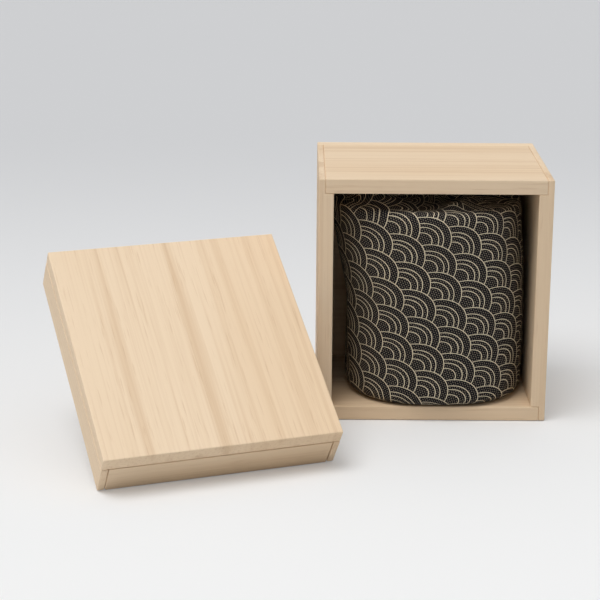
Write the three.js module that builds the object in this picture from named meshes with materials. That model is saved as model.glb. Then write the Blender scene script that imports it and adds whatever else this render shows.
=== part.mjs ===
// A bark tea caddy in its cloth pouch, in an open paulownia box, with the box's lid leaning beside it.
// Millimetres, +Z up. The origin is the middle of the face that the box lies on; its mouth faces -Y.
import * as THREE from 'three';

// Driving dimensions of the box, with the room it leaves round the pouch
const board = 5.6;
const lap = 2.4;
const roomLeft = 4.7;
const roomRight = 2.6;
const roomAbove = 0.6;
const bellyProud = 2.7;

// Driving dimensions of the lid and of the tongue that drops into the box's mouth
const lidDepth = 18;
const lidPanel = 5.6;
const tongueWall = 3;
const tongueReach = 3.6;
const joinGap = 0.3;
const lidTilt = THREE.MathUtils.degToRad(34.9);
const lidYaw = THREE.MathUtils.degToRad(20.1);
const lidRightIn = 5.44;
const lidForward = 44.26;

// Driving dimensions of the caddy
const caddyRadius = 32;
const caddyHeight = 70;
const caddyLidHeight = 25;
const barkSkin = 0.75;
const coreWall = 2;
const liningWall = 0.75;
const baseBoard = 3;
const floorSkin = 0.7;
const lipRise = 6;
const lidRunning = 0.35;
const topBoard = 3;
const edgeRound = 0.6;
const glueLine = 0.05;

// Driving dimensions of the pouch
const clothWall = 1.1;
const pouchFit = 0.3;
const sideSlack = 1.35;
const pouchFoot = 1.3;
const pouchRound = 6;
const gatherRise = 10.7;
const gatherInset = 19;
const restGap = 0.3;
const roundSides = 28;
const pouchSides = 40;

// Places that follow from them
const pouchRadius = caddyRadius + pouchFit + clothWall;
const pouchHalfWidth = pouchRadius + sideSlack;
const pouchStretch = pouchHalfWidth / pouchRadius;
const boxWidth = 2 * (board + pouchHalfWidth) + roomLeft + roomRight;
const boxDepth = 2 * pouchRadius - bellyProud + restGap + board;
const boxBack = boxDepth / 2;
const boxFront = -boxDepth / 2;
const caddyShift = (roomLeft - roomRight) / 2;
const caddyPlace = new THREE.Vector3(caddyShift, boxBack - board - restGap - pouchRadius, 0);
const pouchLow = board + restGap;
const caddyLow = pouchLow + pouchFoot + restGap;
const caddyTop = caddyLow + caddyHeight;
const caddySplit = caddyTop - caddyLidHeight;
const gatherLow = caddyTop + 2 * pouchFit;
const pouchTop = gatherLow - pouchFit;
const gatherTop = gatherLow + gatherRise;
const boxHeight = gatherTop + roomAbove + board;
const lidCorner = new THREE.Vector3(
  -boxWidth / 2 + lidRightIn - boxWidth * Math.cos(lidYaw),
  boxFront - lidForward - boxWidth * Math.sin(lidYaw),
  0,
);

const woods = {
  paulownia: new THREE.MeshStandardMaterial({ color: 0xe3c39a, roughness: 0.75, metalness: 0 }),
  cloth: new THREE.MeshStandardMaterial({ color: 0x17171c, roughness: 0.9, metalness: 0 }),
  bark: new THREE.MeshStandardMaterial({ color: 0x5a2c1c, roughness: 0.35, metalness: 0 }),
  core: new THREE.MeshStandardMaterial({ color: 0xb08a5e, roughness: 0.7, metalness: 0 }),
};

const object = new THREE.Group();

function addPiece(parent, name, geometry, material) {
  const piece = new THREE.Mesh(geometry, material);
  piece.name = name;
  parent.add(piece);
}

// A prism on an outline of corners, from low to high along Z
function prism(corners, low, high) {
  const outline = new THREE.Shape(corners.map(([across, along]) => new THREE.Vector2(across, along)));
  const solid = new THREE.ExtrudeGeometry(outline, { depth: high - low, bevelEnabled: false });
  return solid.translate(0, 0, low);
}

// A side board whose lip covers the ends of the boards that meet it
function lippedOutline(width, height) {
  return [
    [0, 0],
    [lap, 0],
    [lap, board],
    [board, board],
    [board, height - board],
    [lap, height - board],
    [lap, height],
    [0, height],
  ].map(([across, along]) => [across - width / 2, along]);
}

function mirrored(corners) {
  return corners.map(([across, along]) => [-across, along]).reverse();
}

function rectangle(left, right, low, high) {
  return [
    [left, low],
    [right, low],
    [right, high],
    [left, high],
  ];
}

// The four lapped boards of a frame that is centred on X and starts at Y = 0
function frameOutlines(width, height) {
  const lipped = lippedOutline(width, height);
  const between = width / 2 - lap;
  return {
    left: lipped,
    right: mirrored(lipped),
    low: rectangle(-between, between, 0, board),
    high: rectangle(-between, between, height - board, height),
  };
}

// The box: its frame lies on its side, so the outlines stand up and run back from the mouth
function boxPiece(name, corners, front, back) {
  const solid = prism(corners, 0, back - front).rotateX(Math.PI / 2).translate(0, back, 0);
  addPiece(object, name, solid, woods.paulownia);
}

const boxFrame = frameOutlines(boxWidth, boxHeight);
boxPiece('box_left_side', boxFrame.left, boxFront, boxBack - board);
boxPiece('box_right_side', boxFrame.right, boxFront, boxBack - board);
boxPiece('box_bottom_side', boxFrame.low, boxFront, boxBack - board);
boxPiece('box_top_side', boxFrame.high, boxFront, boxBack - board);
boxPiece('box_back_panel', rectangle(-boxWidth / 2, boxWidth / 2, 0, boxHeight), boxBack - board, boxBack);

// The lid: its rim is at Z = 0 of a group that leans on the rim's front edge
const lid = new THREE.Group();
lid.rotation.set(lidTilt, 0, lidYaw, 'ZYX');
lid.position.copy(lidCorner);
const lidBoards = new THREE.Group();
lidBoards.position.set(boxWidth / 2, 0, 0);
lid.add(lidBoards);
object.add(lid);

const skirtTop = lidDepth - lidPanel - joinGap;
const lidFrame = frameOutlines(boxWidth, boxHeight);
const skirtBetween = boxWidth / 2 - lap - joinGap;
const trimmed = {
  low: rectangle(-skirtBetween, skirtBetween, 0, board - joinGap),
  high: rectangle(-skirtBetween, skirtBetween, boxHeight - board + joinGap, boxHeight),
};
addPiece(lidBoards, 'lid_left_skirt', prism(lidFrame.left, 0, skirtTop), woods.paulownia);
addPiece(lidBoards, 'lid_right_skirt', prism(lidFrame.right, 0, skirtTop), woods.paulownia);
addPiece(lidBoards, 'lid_front_skirt', prism(trimmed.low, 0, skirtTop), woods.paulownia);
addPiece(lidBoards, 'lid_back_skirt', prism(trimmed.high, 0, skirtTop), woods.paulownia);
const panelOutline = rectangle(-boxWidth / 2, boxWidth / 2, 0, boxHeight);
addPiece(lidBoards, 'lid_panel', prism(panelOutline, lidDepth - lidPanel, lidDepth), woods.paulownia);

// The tongue: four thin boards inside the skirt, which reach past the rim and into the box's mouth
const tongueSide = boxWidth / 2 - board - joinGap;
const tongueFront = board + joinGap;
const tongueBack = boxHeight - board - joinGap;
const tongueBetween = tongueSide - tongueWall - joinGap;
const tongues = {
  lid_tongue_left: rectangle(-tongueSide, -tongueSide + tongueWall, tongueFront, tongueBack),
  lid_tongue_right: rectangle(tongueSide - tongueWall, tongueSide, tongueFront, tongueBack),
  lid_tongue_front: rectangle(-tongueBetween, tongueBetween, tongueFront, tongueFront + tongueWall),
  lid_tongue_back: rectangle(-tongueBetween, tongueBetween, tongueBack - tongueWall, tongueBack),
};
for (const [name, corners] of Object.entries(tongues)) {
  addPiece(lidBoards, name, prism(corners, -tongueReach, skirtTop), woods.paulownia);
}

// A turned piece: its profile is a list of radius and height, and it stands at the caddy's place
function turned(name, profile, sides, material, stretch = 1) {
  const points = profile.map(([radius, height]) => new THREE.Vector2(radius, height));
  const solid = new THREE.LatheGeometry(points, sides).rotateX(Math.PI / 2);
  solid.scale(stretch, 1, 1);
  solid.translate(caddyPlace.x, caddyPlace.y, caddyPlace.z);
  addPiece(object, name, solid, material);
}

// A ring whose outer edges are eased; its profile closes on itself
function ring(inner, outer, low, high, easeLow = 0, easeHigh = 0) {
  return [
    [inner, low],
    [outer - easeLow, low],
    [outer, low + easeLow],
    [outer, high - easeHigh],
    [outer - easeHigh, high],
    [inner, high],
    [inner, low],
  ].filter(([radius, height], index, all) => {
    const last = all[index - 1];
    return !last || last[0] !== radius || last[1] !== height;
  });
}

function disc(radius, low, high) {
  return [
    [0, low],
    [radius, low],
    [radius, high],
    [0, high],
  ];
}

// The caddy's body: a wooden core with bark outside, a lining that stands up as the lip, and its floor
const barkInner = caddyRadius - barkSkin;
const coreOuter = barkInner - glueLine;
const coreInner = coreOuter - coreWall;
const liningOuter = coreInner - glueLine;
const liningInner = liningOuter - liningWall;
const liningLow = caddyLow + baseBoard + glueLine;
turned('caddy_bark_skin', ring(barkInner, caddyRadius, caddyLow, caddySplit, edgeRound), roundSides, woods.bark);
turned('caddy_core', ring(coreInner, coreOuter, caddyLow, caddySplit), roundSides, woods.core);
turned('caddy_base_board', disc(liningOuter, caddyLow, caddyLow + baseBoard), roundSides, woods.core);
turned('caddy_lip_lining', ring(liningInner, liningOuter, liningLow, caddySplit + lipRise), roundSides, woods.bark);
const floorOutline = disc(liningInner - glueLine, liningLow, liningLow + floorSkin);
turned('caddy_floor_lining', floorOutline, roundSides, woods.bark);

// The caddy's lid: a core ring and a board with bark over both, which slides down over the lip
const lidLow = caddySplit + glueLine;
const lidBoardTop = caddyTop - barkSkin - glueLine;
const lidBoardLow = lidBoardTop - topBoard;
const lidInner = liningOuter + lidRunning;
const crown = caddyRadius - barkSkin - glueLine;
turned('caddy_lid_bark_ring', ring(barkInner, caddyRadius, lidLow, caddyTop, 0, edgeRound), roundSides, woods.bark);
turned('caddy_lid_core', ring(lidInner, coreOuter, lidLow, lidBoardLow - glueLine), roundSides, woods.core);
turned('caddy_lid_board', disc(crown, lidBoardLow, lidBoardTop), roundSides, woods.core);
turned('caddy_lid_top_bark', disc(crown, lidBoardTop + glueLine, caddyTop), roundSides, woods.bark);
const lidLiningTop = lidBoardLow - glueLine;
const lidLining = disc(lidInner - glueLine, lidLiningTop - floorSkin, lidLiningTop);
turned('caddy_lid_lining', lidLining, roundSides, woods.bark);

// The pouch: a cup of cloth round the caddy, with a rounded foot, and the gathered cloth over its lid
function pouchProfile() {
  const steps = 4;
  const inner = pouchRadius - clothWall;
  const floor = pouchLow + pouchFoot;
  const profile = [[0, pouchLow]];
  for (let step = 0; step <= steps; step += 1) {
    const turn = (step / steps) * (Math.PI / 2);
    profile.push([
      pouchRadius - pouchRound + pouchRound * Math.sin(turn),
      pouchLow + pouchRound - pouchRound * Math.cos(turn),
    ]);
  }
  profile.push([pouchRadius, pouchTop], [inner, pouchTop], [inner, caddyLow + pouchRound / 3]);
  profile.push([inner - pouchFit, floor], [0, floor]);
  return profile;
}
turned('pouch_body', pouchProfile(), pouchSides, woods.cloth, pouchStretch);

const gatherShoulder = (gatherTop + gatherLow) / 2;
const gatherProfile = [
  [0, gatherLow],
  [pouchRadius, gatherLow],
  [pouchRadius - pouchRound / 3, gatherShoulder],
  [pouchRadius - gatherInset, gatherTop],
  [0, gatherTop],
];
turned('pouch_gather', gatherProfile, pouchSides, woods.cloth, pouchStretch);

export default object;
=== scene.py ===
# %% [markdown]
# A bark tea caddy in its cloth pouch, in a box of paulownia wood. The measured model comes first as a fixed
# frame: every board and ring of the real object is already in it, at its place and size in metres. This
# lesson gives each one its finish, and models the cloth pouch round the caddy anew.

# %% Load the measured model
import math

import bpy
from mathutils import Euler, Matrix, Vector, noise


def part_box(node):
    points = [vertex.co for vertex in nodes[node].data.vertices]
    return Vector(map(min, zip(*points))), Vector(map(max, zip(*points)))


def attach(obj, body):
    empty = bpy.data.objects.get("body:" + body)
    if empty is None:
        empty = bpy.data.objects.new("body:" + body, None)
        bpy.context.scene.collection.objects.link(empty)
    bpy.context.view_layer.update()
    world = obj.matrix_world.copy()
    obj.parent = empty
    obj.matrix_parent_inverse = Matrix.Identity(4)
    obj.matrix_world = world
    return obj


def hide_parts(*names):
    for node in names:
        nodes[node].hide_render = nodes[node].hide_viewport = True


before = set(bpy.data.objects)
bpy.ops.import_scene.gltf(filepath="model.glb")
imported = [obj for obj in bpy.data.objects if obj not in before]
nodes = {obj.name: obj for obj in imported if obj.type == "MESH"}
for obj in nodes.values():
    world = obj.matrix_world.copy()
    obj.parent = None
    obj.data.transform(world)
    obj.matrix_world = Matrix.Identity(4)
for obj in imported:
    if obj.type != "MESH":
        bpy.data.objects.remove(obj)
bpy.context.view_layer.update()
MM = 0.001
print("pieces in the frame:", len(nodes))

# %% [markdown]
# The camera looks down at the box from the front. It is a long lens, so the box's edges stay nearly
# parallel. It is made before anything else, and nothing is fitted to it afterwards.

# %% The camera
CAMERA_PLACE = (-0.0527, -0.7175, 0.2462)
CAMERA_DOWN = math.radians(16.19)
CAMERA_RIGHT = math.radians(0.16)
CAMERA_ROLL = math.radians(0.40)
CAMERA_LENS = 112.4
SENSOR_WIDTH = 36

camera_data = bpy.data.cameras.new("camera")
camera_data.lens = CAMERA_LENS
camera_data.sensor_width = SENSOR_WIDTH
camera = bpy.data.objects.new("camera", camera_data)
bpy.context.scene.collection.objects.link(camera)
aim = Euler((math.pi / 2 - CAMERA_DOWN, 0, -CAMERA_RIGHT)).to_matrix()
aim = aim @ Euler((0, 0, CAMERA_ROLL)).to_matrix()
camera.matrix_world = aim.to_4x4()
camera.location = CAMERA_PLACE
bpy.context.scene.camera = camera
print("camera lens, mm:", CAMERA_LENS)

# %% [markdown]
# The light is soft daylight from the upper left, with a pale room all round that is brighter above. A sun
# lamp with a wide angle gives the soft shadows, and the world gives the rest. Large area lamps could do the
# same, but a sun has no place to move. Colours render about as they are written.

# %% The lights
SUN_TOWARDS = Vector((-0.29, -0.22, 0.93))
SUN_STRENGTH = 1.6
SUN_ANGLE = math.radians(38)
ROOM_COLOUR = (0.97, 0.98, 1.0, 1)
ROOM_LOW = 0.22
ROOM_HIGH = 0.68

sun_data = bpy.data.lights.new("window", "SUN")
sun_data.energy = SUN_STRENGTH
sun_data.angle = SUN_ANGLE
sun = bpy.data.objects.new("window", sun_data)
sun.rotation_euler = SUN_TOWARDS.to_track_quat("Z", "Y").to_euler()
bpy.context.scene.collection.objects.link(sun)

world = bpy.data.worlds.new("room")
world.use_nodes = True
room_tree = world.node_tree
background = room_tree.nodes["Background"]
background.inputs["Color"].default_value = ROOM_COLOUR
room_place = room_tree.nodes.new("ShaderNodeTexCoord")
room_way = room_tree.nodes.new("ShaderNodeSeparateXYZ")
room_range = room_tree.nodes.new("ShaderNodeMapRange")
room_range.inputs["To Min"].default_value = ROOM_LOW
room_range.inputs["To Max"].default_value = ROOM_HIGH
room_tree.links.new(room_place.outputs["Generated"], room_way.inputs[0])
room_tree.links.new(room_way.outputs[2], room_range.inputs["Value"])
room_tree.links.new(room_range.outputs["Result"], background.inputs["Strength"])
bpy.context.scene.world = world
bpy.context.scene.view_settings.view_transform = "Standard"
print("sun strength:", SUN_STRENGTH)

# %% [markdown]
# Materials are built from a few helpers. Each shared effect is a shader node group with named sockets, so
# the wood of the box, of the lid and of the caddy's core all use one grain group with their own values.

# %% Helpers for shader nodes
def new_group(name, inputs, outputs):
    group = bpy.data.node_groups.new(name, "ShaderNodeTree")
    for label, kind in inputs:
        group.interface.new_socket(name=label, in_out="INPUT", socket_type=kind)
    for label, kind in outputs:
        group.interface.new_socket(name=label, in_out="OUTPUT", socket_type=kind)
    start = group.nodes.new("NodeGroupInput")
    end = group.nodes.new("NodeGroupOutput")
    return group, start, end


def set_input(tree, socket, value):
    if isinstance(value, bpy.types.NodeSocket):
        tree.links.new(value, socket)
    else:
        socket.default_value = value


def math_node(tree, operation, first, second=0.0, third=0.0):
    node = tree.nodes.new("ShaderNodeMath")
    node.operation = operation
    for socket, value in zip(node.inputs, (first, second, third)):
        set_input(tree, socket, value)
    return node.outputs[0]


def mix_colour(tree, factor, first, second):
    node = tree.nodes.new("ShaderNodeMix")
    node.data_type = "RGBA"
    set_input(tree, node.inputs["Factor"], factor)
    set_input(tree, node.inputs["A"], first)
    set_input(tree, node.inputs["B"], second)
    return node.outputs["Result"]


def noise_at(tree, vector, stretch, detail):
    mapping = tree.nodes.new("ShaderNodeMapping")
    mapping.inputs["Scale"].default_value = stretch
    texture = tree.nodes.new("ShaderNodeTexNoise")
    texture.inputs["Scale"].default_value = 1.0
    texture.inputs["Detail"].default_value = detail
    tree.links.new(vector, mapping.inputs["Vector"])
    tree.links.new(mapping.outputs[0], texture.inputs["Vector"])
    return texture.outputs["Fac"]


def smooth_between(tree, value, low, high):
    node = tree.nodes.new("ShaderNodeMapRange")
    node.interpolation_type = "SMOOTHSTEP"
    set_input(tree, node.inputs["Value"], value)
    set_input(tree, node.inputs["From Min"], low)
    set_input(tree, node.inputs["From Max"], high)
    return node.outputs["Result"]


def split_vector(tree, vector):
    node = tree.nodes.new("ShaderNodeSeparateXYZ")
    tree.links.new(vector, node.inputs[0])
    return node.outputs


def join_pair(tree, first, second):
    node = tree.nodes.new("ShaderNodeCombineXYZ")
    tree.links.new(first, node.inputs[0])
    tree.links.new(second, node.inputs[1])
    return node.outputs[0]


def new_material(name, roughness):
    material = bpy.data.materials.new(name)
    material.use_nodes = True
    shader = material.node_tree.nodes["Principled BSDF"]
    shader.inputs["Roughness"].default_value = roughness
    return material, material.node_tree, shader


def add_bump(tree, shader, height, distance):
    bump = tree.nodes.new("ShaderNodeBump")
    bump.inputs["Strength"].default_value = 1.0
    bump.inputs["Distance"].default_value = distance
    tree.links.new(height, bump.inputs["Height"])
    tree.links.new(bump.outputs["Normal"], shader.inputs["Normal"])


# %% [markdown]
# Paulownia is a pale, light wood with straight soft grain and no varnish. Its year rings show as faint
# bands, its pores as fine short dashes along the grain, and wide patches differ a little in warmth. All of
# them are noise that is squeezed across the grain and long along it. The group takes a vector whose Y runs
# along the grain, so one group serves boards that lie any way.

# %% The grain of planed wood
RING_STRETCH = (190, 2.6, 95)
FINE_STRETCH = (900, 9, 900)
PORE_STRETCH = (1800, 70, 1800)
PATCH_STRETCH = (14, 3.0, 14)
RING_EDGE = (0.50, 0.74)
FINE_EDGE = (0.42, 0.75)
PORE_EDGE = (0.62, 0.74)
PATCH_EDGE = (0.40, 0.66)
RING_SHARE = 0.75
FINE_SHARE = 0.35
PORE_SHARE = 0.40
PATCH_SHARE = 0.6
DEEP_SHARE = 0.55


def make_grain():
    group, start, end = new_group(
        "wood_grain",
        [("Vector", "NodeSocketVector"), ("Pale", "NodeSocketColor"), ("Deep", "NodeSocketColor"),
         ("Patch", "NodeSocketColor")],
        [("Color", "NodeSocketColor"), ("Height", "NodeSocketFloat")],
    )
    vector = start.outputs["Vector"]
    patch = smooth_between(group, noise_at(group, vector, PATCH_STRETCH, 2.0), *PATCH_EDGE)
    rings = smooth_between(group, noise_at(group, vector, RING_STRETCH, 4.0), *RING_EDGE)
    fine = smooth_between(group, noise_at(group, vector, FINE_STRETCH, 2.0), *FINE_EDGE)
    pores = smooth_between(group, noise_at(group, vector, PORE_STRETCH, 1.0), *PORE_EDGE)
    streak = math_node(group, "MULTIPLY_ADD", fine, FINE_SHARE,
                       math_node(group, "MULTIPLY", rings, RING_SHARE))
    depth = math_node(group, "MULTIPLY_ADD", pores, PORE_SHARE, streak)
    warmth = math_node(group, "MULTIPLY", patch, PATCH_SHARE)
    base = mix_colour(group, warmth, start.outputs["Pale"], start.outputs["Patch"])
    dark = math_node(group, "MULTIPLY", depth, DEEP_SHARE)
    colour = mix_colour(group, dark, base, start.outputs["Deep"])
    group.links.new(colour, end.inputs["Color"])
    group.links.new(math_node(group, "SUBTRACT", 1.0, depth), end.inputs["Height"])
    return group


grain = make_grain()
print("grain group has nodes:", len(grain.nodes))

# %% [markdown]
# Each kind of board gets a material of its own from that group. A Mapping node turns the pattern to the
# board's grain, and its place says which stretch of the plank the board was cut from.

# %% A material of planed wood
PALE_WOOD = (0.92, 0.72, 0.505, 1)
DEEP_WOOD = (0.60, 0.37, 0.19, 1)
WARM_PATCH = (0.84, 0.61, 0.385, 1)
WOOD_ROUGHNESS = 0.68
GRAIN_DEPTH = 0.00006


def wood_material(name, turn, place, shade=1.0):
    """Planed wood whose grain runs along the Y of a frame with this turn and place."""
    material, tree, shader = new_material(name, WOOD_ROUGHNESS)
    coordinates = tree.nodes.new("ShaderNodeTexCoord")
    mapping = tree.nodes.new("ShaderNodeMapping")
    mapping.vector_type = "TEXTURE"
    mapping.inputs["Rotation"].default_value = turn
    mapping.inputs["Location"].default_value = place
    tree.links.new(coordinates.outputs["Object"], mapping.inputs["Vector"])
    wood = tree.nodes.new("ShaderNodeGroup")
    wood.node_tree = grain
    tree.links.new(mapping.outputs[0], wood.inputs["Vector"])
    for label, colour in (("Pale", PALE_WOOD), ("Deep", DEEP_WOOD), ("Patch", WARM_PATCH)):
        wood.inputs[label].default_value = [channel * shade for channel in colour[:3]] + [1]
    tree.links.new(wood.outputs["Color"], shader.inputs["Base Color"])
    add_bump(tree, shader, wood.outputs["Height"], GRAIN_DEPTH)
    return material


# %% [markdown]
# The boards of the box run round it, so the top and bottom have their grain across and the sides have it
# upright. The lid leans, so its wood is mapped in the lid's own frame: that keeps its grain in line with
# its edges. Each board is eased along its edges, as a plane leaves it. The frame's meshes are loose
# triangles, so a Weld modifier joins them before the Bevel finds their edges.

# %% Wood on the boards of the box and lid
GRAIN_ACROSS = (0, 0, math.pi / 2)
GRAIN_UPRIGHT = (math.pi / 2, 0, 0)
ACROSS_CUT = (0.013, 0.004, 0.02)
UPRIGHT_CUT = (0.021, 0.03, 0.0)
BACK_CUT = (0.05, 0.09, 0.03)
BOX_SHADE = 0.93
BACK_SHADE = 0.97
LID_TURN = (math.radians(34.9), 0, math.radians(20.1))
LID_CORNER = (-0.1212, -0.1095, 0)
LID_CROSS_SHADE = 0.97
EDGE_EASE = 0.0004
EASE_STEPS = 2
EASE_ANGLE = math.radians(30)
WELD_WITHIN = 0.00001

across = wood_material("box_wood_across", GRAIN_ACROSS, ACROSS_CUT, BOX_SHADE)
upright = wood_material("box_wood_upright", GRAIN_UPRIGHT, UPRIGHT_CUT, BOX_SHADE)
back = wood_material("box_wood_back", GRAIN_ACROSS, BACK_CUT, BACK_SHADE)
lid_long = wood_material("lid_wood_long", LID_TURN, LID_CORNER)
lid_cross_turn = (Euler(LID_TURN).to_matrix() @ Euler(GRAIN_ACROSS).to_matrix()).to_euler()
lid_cross = wood_material("lid_wood_cross", tuple(lid_cross_turn), LID_CORNER, LID_CROSS_SHADE)

BOARD_WOOD = {
    "box_top_side": across,
    "box_bottom_side": across,
    "box_left_side": upright,
    "box_right_side": upright,
    "box_back_panel": back,
    "lid_panel": lid_long,
    "lid_left_skirt": lid_long,
    "lid_right_skirt": lid_long,
    "lid_tongue_left": lid_long,
    "lid_tongue_right": lid_long,
    "lid_front_skirt": lid_cross,
    "lid_back_skirt": lid_cross,
    "lid_tongue_front": lid_cross,
    "lid_tongue_back": lid_cross,
}


def dress_node(name, material):
    mesh = nodes[name].data
    mesh.materials.clear()
    mesh.materials.append(material)


def ease_edges(name):
    weld = nodes[name].modifiers.new("weld", "WELD")
    weld.merge_threshold = WELD_WITHIN
    bevel = nodes[name].modifiers.new("eased edges", "BEVEL")
    bevel.width = EDGE_EASE
    bevel.segments = EASE_STEPS
    bevel.limit_method = "ANGLE"
    bevel.angle_limit = EASE_ANGLE


for board_name, board_material in BOARD_WOOD.items():
    dress_node(board_name, board_material)
    ease_edges(board_name)
print("boards dressed:", len(BOARD_WOOD))

# %% [markdown]
# The caddy is covered in polished cherry bark: deep red-brown and glossy, with short pale lenticels that
# run round it. Noise that is squeezed in height and long in the round gives them. The pouch hides all of
# it, but it is finished like the rest, for when the pouch is taken off.

# %% Bark on the caddy
BARK_DEEP = (0.075, 0.017, 0.009, 1)
BARK_RED = (0.20, 0.055, 0.026, 1)
LENTICEL = (0.42, 0.22, 0.12, 1)
BARK_ROUGHNESS = 0.28
BARK_POLISH = 0.5
CLOUD_STRETCH = (60, 60, 160)
CLOUD_EDGE = (0.35, 0.7)
LENTICEL_STRETCH = (170, 170, 1500)
LENTICEL_EDGE = (0.64, 0.72)
LENTICEL_SHARE = 0.7
LENTICEL_DEPTH = 0.00008

bark, bark_tree, bark_shader = new_material("polished_cherry_bark", BARK_ROUGHNESS)
bark_place = bark_tree.nodes.new("ShaderNodeTexCoord").outputs["Object"]
cloud = smooth_between(bark_tree, noise_at(bark_tree, bark_place, CLOUD_STRETCH, 4.0), *CLOUD_EDGE)
dash = smooth_between(bark_tree, noise_at(bark_tree, bark_place, LENTICEL_STRETCH, 2.0), *LENTICEL_EDGE)
bark_ground = mix_colour(bark_tree, cloud, BARK_DEEP, BARK_RED)
dash_share = math_node(bark_tree, "MULTIPLY", dash, LENTICEL_SHARE)
bark_colour = mix_colour(bark_tree, dash_share, bark_ground, LENTICEL)
bark_tree.links.new(bark_colour, bark_shader.inputs["Base Color"])
bark_shader.inputs["Coat Weight"].default_value = BARK_POLISH
add_bump(bark_tree, bark_shader, dash, LENTICEL_DEPTH)

BARK_NODES = [
    "caddy_bark_skin", "caddy_lip_lining", "caddy_floor_lining",
    "caddy_lid_bark_ring", "caddy_lid_top_bark", "caddy_lid_lining",
]
for bark_name in BARK_NODES:
    dress_node(bark_name, bark)
print("pieces in bark:", len(BARK_NODES))

# %% [markdown]
# Under the bark the caddy is turned wood, darker than the box. It takes the same grain group.

# %% Wood in the caddy's core
CORE_CUT = (0.01, 0.02, 0.03)
CORE_SHADE = 0.72

core = wood_material("core_wood", GRAIN_UPRIGHT, CORE_CUT, CORE_SHADE)
CORE_NODES = ["caddy_core", "caddy_base_board", "caddy_lid_core", "caddy_lid_board"]
for core_name in CORE_NODES:
    dress_node(core_name, core)
print("pieces in core wood:", len(CORE_NODES))

# %% [markdown]
# The pouch's cloth is printed with seigaiha, the waves of overlapping circles. At each point the lowest
# circle that covers it is the one that shows. Two rows can cover a point, so the group measures its
# distance from both centres and keeps the lower row's if it lies inside. Rings at fixed shares of that
# distance are the lines, and a fine twill of beige flecks fills the bands between them. One unit of the
# pattern is a circle's radius: circles stand two units apart in a row, and the rows half a unit apart.

# %% The wave pattern
RING_SHARES = (0.985, 0.74, 0.59, 0.38)
RING_HALF = 0.0100
LINE_FULL = RING_HALF * 0.6
LINE_GONE = RING_HALF * 1.5
CIRCLE_STEP = 2.0
ROW_STEP = 0.5
FLECK_MM = 1.25
FLECK_EDGE = (0.22, 0.60)
OUTER_BAND_DIM = 0.15
OUTER_BAND_EDGE = (0.70, 0.76)


def fleck_mask(tree, x, y):
    along = math_node(tree, "MULTIPLY", math_node(tree, "ADD", x, y), 2 * math.pi / FLECK_MM)
    over = math_node(tree, "MULTIPLY", math_node(tree, "SUBTRACT", x, y), math.pi / FLECK_MM)
    twill = math_node(tree, "MULTIPLY", math_node(tree, "SINE", along), math_node(tree, "SINE", over))
    return smooth_between(tree, twill, *FLECK_EDGE)


def distance_of(tree, across_it, up_it):
    up_square = math_node(tree, "MULTIPLY", up_it, up_it)
    return math_node(tree, "SQRT", math_node(tree, "MULTIPLY_ADD", across_it, across_it, up_square))


def span_from_circle(tree, x, y):
    """Distance from the middle of the circle that shows at this point."""
    rows = math_node(tree, "MULTIPLY", y, 1 / ROW_STEP)
    row = math_node(tree, "FLOOR", rows)
    rise = math_node(tree, "MULTIPLY", math_node(tree, "SUBTRACT", rows, row), ROW_STEP)
    odd = math_node(tree, "FLOORED_MODULO", row, 2.0)
    shifted = math_node(tree, "ADD", math_node(tree, "SUBTRACT", x, odd), 1.0)
    in_step = math_node(tree, "FLOORED_MODULO", shifted, CIRCLE_STEP)
    beside = math_node(tree, "ABSOLUTE", math_node(tree, "SUBTRACT", in_step, 1.0))
    upper = distance_of(tree, beside, rise)
    lower = distance_of(tree, math_node(tree, "SUBTRACT", 1.0, beside),
                        math_node(tree, "ADD", rise, ROW_STEP))
    inside = math_node(tree, "LESS_THAN", lower, 1.0)
    return math_node(tree, "MULTIPLY_ADD", math_node(tree, "SUBTRACT", lower, upper), inside, upper)


def make_waves():
    group, start, end = new_group(
        "wave_pattern",
        [("Waves", "NodeSocketVector"), ("Cloth", "NodeSocketVector")],
        [("Lines", "NodeSocketFloat"), ("Flecks", "NodeSocketFloat")],
    )
    waves_at = split_vector(group, start.outputs["Waves"])
    cloth_at = split_vector(group, start.outputs["Cloth"])
    span = span_from_circle(group, waves_at[0], waves_at[1])
    lines = 0.0
    for share in RING_SHARES:
        off = math_node(group, "ABSOLUTE", math_node(group, "SUBTRACT", span, share))
        line = math_node(group, "SUBTRACT", 1.0, smooth_between(group, off, LINE_FULL, LINE_GONE))
        lines = math_node(group, "MAXIMUM", line, lines)
    outer_band = smooth_between(group, span, *OUTER_BAND_EDGE)
    band = math_node(group, "SUBTRACT", 1.0, math_node(group, "MULTIPLY", OUTER_BAND_DIM, outer_band))
    flecks = math_node(group, "MULTIPLY", fleck_mask(group, cloth_at[0], cloth_at[1]), band)
    group.links.new(lines, end.inputs["Lines"])
    group.links.new(flecks, end.inputs["Flecks"])
    return group


waves = make_waves()
print("wave group has nodes:", len(waves.nodes))

# %% [markdown]
# The pouch is one shell of cloth. A flat grid is rolled into it, as the real cloth was: across the grid
# goes round the caddy, and up the grid goes from the middle of the foot, up the side, over the shoulder and
# into the gathers. A cloth simulation could drape it too. A formula for every point's place is quicker and
# gives the same pouch each time, and the grid's own UV map still measures the cloth.

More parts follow.
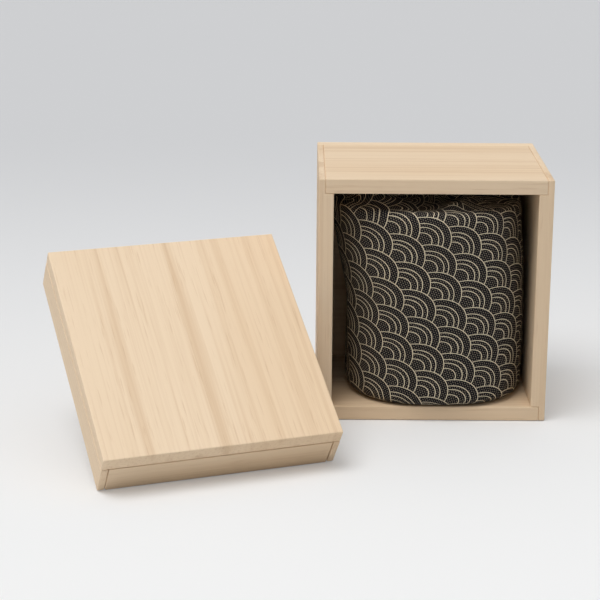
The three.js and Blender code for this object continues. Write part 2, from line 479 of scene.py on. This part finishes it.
# %% The pouch's measures, in millimetres
POUCH_LOW, POUCH_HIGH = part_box("pouch_body")
MIDDLE_X = (POUCH_LOW[0] + POUCH_HIGH[0]) / 2 / MM
MIDDLE_Y = (POUCH_LOW[1] + POUCH_HIGH[1]) / 2 / MM
HALF_X = (POUCH_HIGH[0] - POUCH_LOW[0]) / 2 / MM
HALF_Y = (POUCH_HIGH[1] - POUCH_LOW[1]) / 2 / MM
FOOT = POUCH_LOW[2] / MM
GATHER_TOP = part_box("pouch_gather")[1][2] / MM
WALL_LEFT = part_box("box_left_side")[1][0] / MM
WALL_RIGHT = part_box("box_right_side")[0][0] / MM
WALL_GAP = 0.15
FOOT_ROUND = 4.5
SHOULDER = 82.3
SHOULDER_ROUND = 3.0
CLOTH_THICK = 0.7

FLAT_RUN = HALF_Y - FOOT_ROUND
FOOT_RUN = FOOT_ROUND * math.pi / 2
SIDE_RUN = SHOULDER - SHOULDER_ROUND - FOOT - FOOT_ROUND
SHOULDER_RUN = SHOULDER_ROUND * math.pi / 2
TOP_RUN = HALF_Y - SHOULDER_ROUND
PROFILE_RUN = FLAT_RUN + FOOT_RUN + SIDE_RUN + SHOULDER_RUN + TOP_RUN
ROUND_RUN = math.pi * (HALF_X + HALF_Y)
print("cloth round the pouch and up it, mm:", round(ROUND_RUN, 1), round(PROFILE_RUN, 1))

# %% [markdown]
# The profile is the cloth's way from the middle of the foot to the middle of the top, seen from the side.
# It is flat under the caddy, round at the foot, straight up, round at the shoulder and flat again. Arcs and
# straight runs are enough for it, so a run up the cloth gives its place at once.

# %% The pouch's profile
JUST_OVER = 0.02


def ramp(value, low, high):
    share = min(1.0, max(0.0, (value - low) / (high - low)))
    return share * share * (3 - 2 * share)


def bump_at(value, middle, width):
    return math.exp(-((value - middle) / width) ** 2)


def profile_point(run):
    """Share of the pouch's radius, height, and how far over the top, at this run up the cloth."""
    if run < FLAT_RUN:
        return run / HALF_Y, FOOT, 0.0
    run -= FLAT_RUN
    if run < FOOT_RUN:
        turn = run / FOOT_ROUND
        share = (FLAT_RUN + FOOT_ROUND * math.sin(turn)) / HALF_Y
        return share, FOOT + FOOT_ROUND * (1 - math.cos(turn)), 0.0
    run -= FOOT_RUN
    if run < SIDE_RUN:
        return 1.0, FOOT + FOOT_ROUND + run, 0.0
    run -= SIDE_RUN
    if run < SHOULDER_RUN:
        turn = run / SHOULDER_ROUND
        share = (HALF_Y - SHOULDER_ROUND * (1 - math.cos(turn))) / HALF_Y
        return share, SHOULDER - SHOULDER_ROUND + SHOULDER_ROUND * math.sin(turn), JUST_OVER
    run -= SHOULDER_RUN
    over = min(1.0, run / TOP_RUN)
    return (1 - over) * (HALF_Y - SHOULDER_ROUND) / HALF_Y, SHOULDER, max(JUST_OVER, over)


# %% [markdown]
# Past the shoulder the cloth is gathered over the caddy's lid. It rises at the back and the left, ripples
# round the top, and has a small peak in front with a dip beside it. Each of these is a height in
# millimetres that fades in and out between two places.

# %% The gathers
BACK_RISE = (-14, 10)
LEFT_RISE = (6, 26)
RISE_IN = (0.0, 0.35)
RISE_ROOM = 0.5
PEAK_HIGH = 2.6
PEAK_WIDTH = 4.5
PEAK_X = 6.5
PEAK_Y = -26
PEAK_SLANT = 0.4
PEAK_FRONT = (2, 16)
PEAK_IN = (0.02, 0.2)
RIPPLES = 9
RIPPLE_HIGH = 0.5
RIPPLE_IN = (0.08, 0.4)
RIPPLE_OUT = (0.75, 1.0)
DIP_DEEP = 0.9
DIP_OVER = 0.25
DIP_WIDTH = 0.12
DIP_FRONT = (8, 22)
DIP_LEFT = (-6, 8)


def gathered(height, turn, x, y, over):
    rise = max(ramp(y, *BACK_RISE), ramp(-x, *LEFT_RISE)) * ramp(over, *RISE_IN)
    height += rise * (GATHER_TOP - SHOULDER - RISE_ROOM)
    peak = bump_at(x, PEAK_X + PEAK_SLANT * (y - PEAK_Y), PEAK_WIDTH)
    height += PEAK_HIGH * peak * ramp(-y, *PEAK_FRONT) * ramp(over, *PEAK_IN)
    ripple = RIPPLE_HIGH * math.sin(RIPPLES * turn)
    height += ripple * ramp(over, *RIPPLE_IN) * (1 - ramp(over, *RIPPLE_OUT))
    dip = DIP_DEEP * bump_at(over, DIP_OVER, DIP_WIDTH)
    height -= dip * ramp(-y, *DIP_FRONT) * ramp(-x, *DIP_LEFT)
    return min(height, GATHER_TOP)


# %% [markdown]
# The cloth isn't drawn tight. Its foot is squarer than its top, the pouch leans a little to the right low
# down, and higher up it flares out to the box's left wall. Two slow waves and some soft noise give it
# shallow folds. Each fold is its depth, how many go round, and how far they turn with height.

# %% The cloth's place round the caddy
SQUARENESS = 2.45
SQUARE_LOST = 0.6
SQUARE_FADE = (50, 80)
LEAN_RIGHT = 1.3
LEAN_FADE = (40, 80)
FLARE_OUT = 4.6
FLARE_FROM = 40
FLARE_SIDE = (0.35, 1.0)
FOLDS = ((0.30, 5, 0.05), (0.22, 11, -0.09))
SOFT_DEEP = 0.9
SOFT_ROUND = 3
SOFT_UP = 0.045
FOLD_SHARE = 0.55
FOLD_START = 1
FOLD_FULL = 12
FRONT_FOLD_MOST = 0.25


def folded_out(turn, side, front, height, share):
    folds = sum(deep * math.sin(count * turn + slant * height) for deep, count, slant in FOLDS)
    soft = noise.noise(Vector((SOFT_ROUND * side, SOFT_ROUND * front, height * SOFT_UP))) * SOFT_DEEP
    return (folds + soft) * FOLD_SHARE * ramp(height, FOOT + FOLD_START, FOOT + FOLD_FULL) * share


def cloth_point(turn, run):
    """Place, in metres, of the point at this turn round the pouch and this run up its cloth."""
    share, height, over = profile_point(run)
    side = math.sin(turn)
    front = -math.cos(turn)
    square = (abs(side) ** SQUARENESS + abs(front) ** SQUARENESS) ** (-1 / SQUARENESS)
    square = 1 + (square - 1) * (1 - SQUARE_LOST * ramp(height, *SQUARE_FADE))
    x = HALF_X * share * side * square + LEAN_RIGHT * (1 - ramp(height, *LEAN_FADE))
    y = HALF_Y * share * front * square
    flare = FLARE_OUT * ramp(height, FLARE_FROM, SHOULDER) * ramp(-side, *FLARE_SIDE) * share
    if over > 0:
        height = gathered(height, turn, x, y, over)
    out = folded_out(turn, side, front, height, share)
    x += side * out - flare
    y += front * min(out, FRONT_FOLD_MOST)
    x = max(WALL_LEFT + WALL_GAP - MIDDLE_X, min(WALL_RIGHT - WALL_GAP - MIDDLE_X, x))
    y = min(y, HALF_Y)
    return Vector(((MIDDLE_X + x) * MM, (MIDDLE_Y + y) * MM, height * MM))


# %% [markdown]
# Each vertex of the grid moves to its place on the pouch. The grid's side edges meet at the back, so the
# doubles there are merged, and the small holes in the middle of the foot and of the top are filled. With
# the faces turned outwards, Solidify then gives the cloth its thickness on the inside.

# %% Roll the cloth into the pouch
CLOTH_AROUND = 192
CLOTH_UP = 130
START_RUN = 0.05
MERGE_WITHIN = 0.000002


def deselect_all():
    for chosen in bpy.context.selected_objects:
        chosen.select_set(False)


deselect_all()
bpy.ops.mesh.primitive_grid_add(x_subdivisions=CLOTH_AROUND, y_subdivisions=CLOTH_UP, size=1, calc_uvs=True)
pouch = bpy.context.active_object
pouch.name = "cloth_pouch"
for corner in pouch.data.vertices:
    round_turn = corner.co.x * 2 * math.pi
    up_run = START_RUN + (corner.co.y + 0.5) * (PROFILE_RUN - 2 * START_RUN)
    corner.co = cloth_point(round_turn, up_run)
bpy.ops.object.mode_set(mode="EDIT")
bpy.ops.mesh.select_all(action="SELECT")
bpy.ops.mesh.remove_doubles(threshold=MERGE_WITHIN)
bpy.ops.mesh.select_all(action="DESELECT")
bpy.ops.mesh.select_non_manifold(extend=False)
bpy.ops.mesh.fill_holes(sides=0)
bpy.ops.mesh.select_all(action="SELECT")
bpy.ops.mesh.normals_make_consistent(inside=False)
bpy.ops.object.mode_set(mode="OBJECT")
thickness = pouch.modifiers.new("thickness", "SOLIDIFY")
thickness.thickness = CLOTH_THICK * MM
thickness.offset = -1
bpy.ops.object.modifier_apply(modifier="thickness")
bpy.ops.object.shade_smooth()
print("pouch faces:", len(pouch.data.polygons))

# %% [markdown]
# The print reads the pouch's UV map, stretched to the cloth's own millimetres. The cloth was cut on a
# slant, so its waves open up and to the right. Two values say how: one wave's half width, and its axis.
# The ground is a blue-black cotton with a dull face, and its threads give it a fine bump.

# %% The printed cloth
WAVE_ACROSS = Vector((6.66, -7.09))
WAVE_AXIS = Vector((9.77, 7.11))
PATTERN_SHIFT = (4.0, 2.5)
CLOTH_GROUND = (0.004, 0.004, 0.009, 1)
CLOTH_PRINT = (0.92, 0.80, 0.58, 1)
FLECK_SHARE = 0.27
COTTON_ROUGHNESS = 0.82
COTTON_GLOSS = 0.06
THREAD_DEPTH = 0.00008

printed, cloth_tree, cloth_shader = new_material("printed_pouch_cotton", COTTON_ROUGHNESS)
cloth_shader.inputs["Specular IOR Level"].default_value = COTTON_GLOSS
cloth_uv = split_vector(cloth_tree, cloth_tree.nodes.new("ShaderNodeTexCoord").outputs["UV"])
round_mm = math_node(cloth_tree, "MULTIPLY_ADD", cloth_uv[0], ROUND_RUN, PATTERN_SHIFT[0])
up_mm = math_node(cloth_tree, "MULTIPLY_ADD", cloth_uv[1], PROFILE_RUN, PATTERN_SHIFT[1])
wave_area = WAVE_ACROSS.x * WAVE_AXIS.y - WAVE_ACROSS.y * WAVE_AXIS.x


def on_cloth(round_share, up_share):
    up_part = math_node(cloth_tree, "MULTIPLY", up_mm, up_share)
    return math_node(cloth_tree, "MULTIPLY_ADD", round_mm, round_share, up_part)


wave_x = on_cloth(WAVE_AXIS.y / wave_area, -WAVE_AXIS.x / wave_area)
wave_y = on_cloth(-WAVE_ACROSS.y / wave_area, WAVE_ACROSS.x / wave_area)
wave_node = cloth_tree.nodes.new("ShaderNodeGroup")
wave_node.node_tree = waves
cloth_tree.links.new(join_pair(cloth_tree, wave_x, wave_y), wave_node.inputs["Waves"])
cloth_tree.links.new(join_pair(cloth_tree, round_mm, up_mm), wave_node.inputs["Cloth"])
flecked = math_node(cloth_tree, "MULTIPLY", wave_node.outputs["Flecks"], FLECK_SHARE)
inked = math_node(cloth_tree, "MAXIMUM", wave_node.outputs["Lines"], flecked)
cloth_colour = mix_colour(cloth_tree, inked, CLOTH_GROUND, CLOTH_PRINT)
cloth_tree.links.new(cloth_colour, cloth_shader.inputs["Base Color"])
add_bump(cloth_tree, cloth_shader, wave_node.outputs["Flecks"], THREAD_DEPTH)

pouch.data.materials.clear()
pouch.data.materials.append(printed)
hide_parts("pouch_body", "pouch_gather")
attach(pouch, "wrapped_caddy")
print("cloth material has nodes:", len(cloth_tree.nodes))

# %% [markdown]
# The floor is a wide pale sheet that fades to grey far behind. The grey is painted shade, for the light
# that falls off towards the back. Where the camera sees it, it glows a little in its own colour, which
# keeps it pale without more light on the object. It is stage: it isn't part of the object.

# %% The floor
FLOOR_SIZE = 12
FLOOR_UNDER = 0.0002
FLOOR_NEAR = (0.74, 0.74, 0.735, 1)
# painted shade: the floor's colour turns grey far behind, where less light falls
FLOOR_FAR_SHADED = (0.515, 0.518, 0.525, 1)
FLOOR_SHADE_FADE = (-0.25, 0.55)
FLOOR_ROUGHNESS = 0.9
FLOOR_GLOSS = 0.1
FLOOR_GLOW = 0.22

deselect_all()
bpy.ops.mesh.primitive_plane_add(size=FLOOR_SIZE, location=(0, 0, -FLOOR_UNDER))
floor = bpy.context.active_object
floor.name = "floor"
bpy.ops.object.transform_apply(location=True, rotation=True, scale=True)
floor_material, floor_tree, floor_shader = new_material("pale_floor", FLOOR_ROUGHNESS)
floor_at = split_vector(floor_tree, floor_tree.nodes.new("ShaderNodeTexCoord").outputs["Object"])
# painted shade: the floor's colour darkens to grey towards the back
painted_shade_share = smooth_between(floor_tree, floor_at[1], *FLOOR_SHADE_FADE)
floor_colour = mix_colour(floor_tree, painted_shade_share, FLOOR_NEAR, FLOOR_FAR_SHADED)
floor_tree.links.new(floor_colour, floor_shader.inputs["Base Color"])
floor_shader.inputs["Specular IOR Level"].default_value = FLOOR_GLOSS
floor_tree.links.new(floor_colour, floor_shader.inputs["Emission Color"])
seen = floor_tree.nodes.new("ShaderNodeLightPath").outputs["Is Camera Ray"]
floor_glow = math_node(floor_tree, "MULTIPLY", seen, FLOOR_GLOW)
floor_tree.links.new(floor_glow, floor_shader.inputs["Emission Strength"])
floor.data.materials.append(floor_material)
print("floor across, m:", FLOOR_SIZE)

# %% [markdown]
# The lid leans on something that can't be seen from the front. A small plain block stands there for it. It
# is stage too.

# %% The block behind the lid
PROP_WIDE = 0.012
PROP_THICK = 0.008
PROP_HIGH = 0.040
PROP_PLACE = (-0.0975, -0.0482, PROP_HIGH / 2)

bpy.ops.mesh.primitive_cube_add(size=1, location=PROP_PLACE)
prop = bpy.context.active_object
prop.name = "lid_prop"
prop.scale = (PROP_WIDE, PROP_THICK, PROP_HIGH)
bpy.ops.object.transform_apply(location=True, rotation=True, scale=True)
prop.data.materials.append(floor_material)
print("block high, m:", PROP_HIGH)
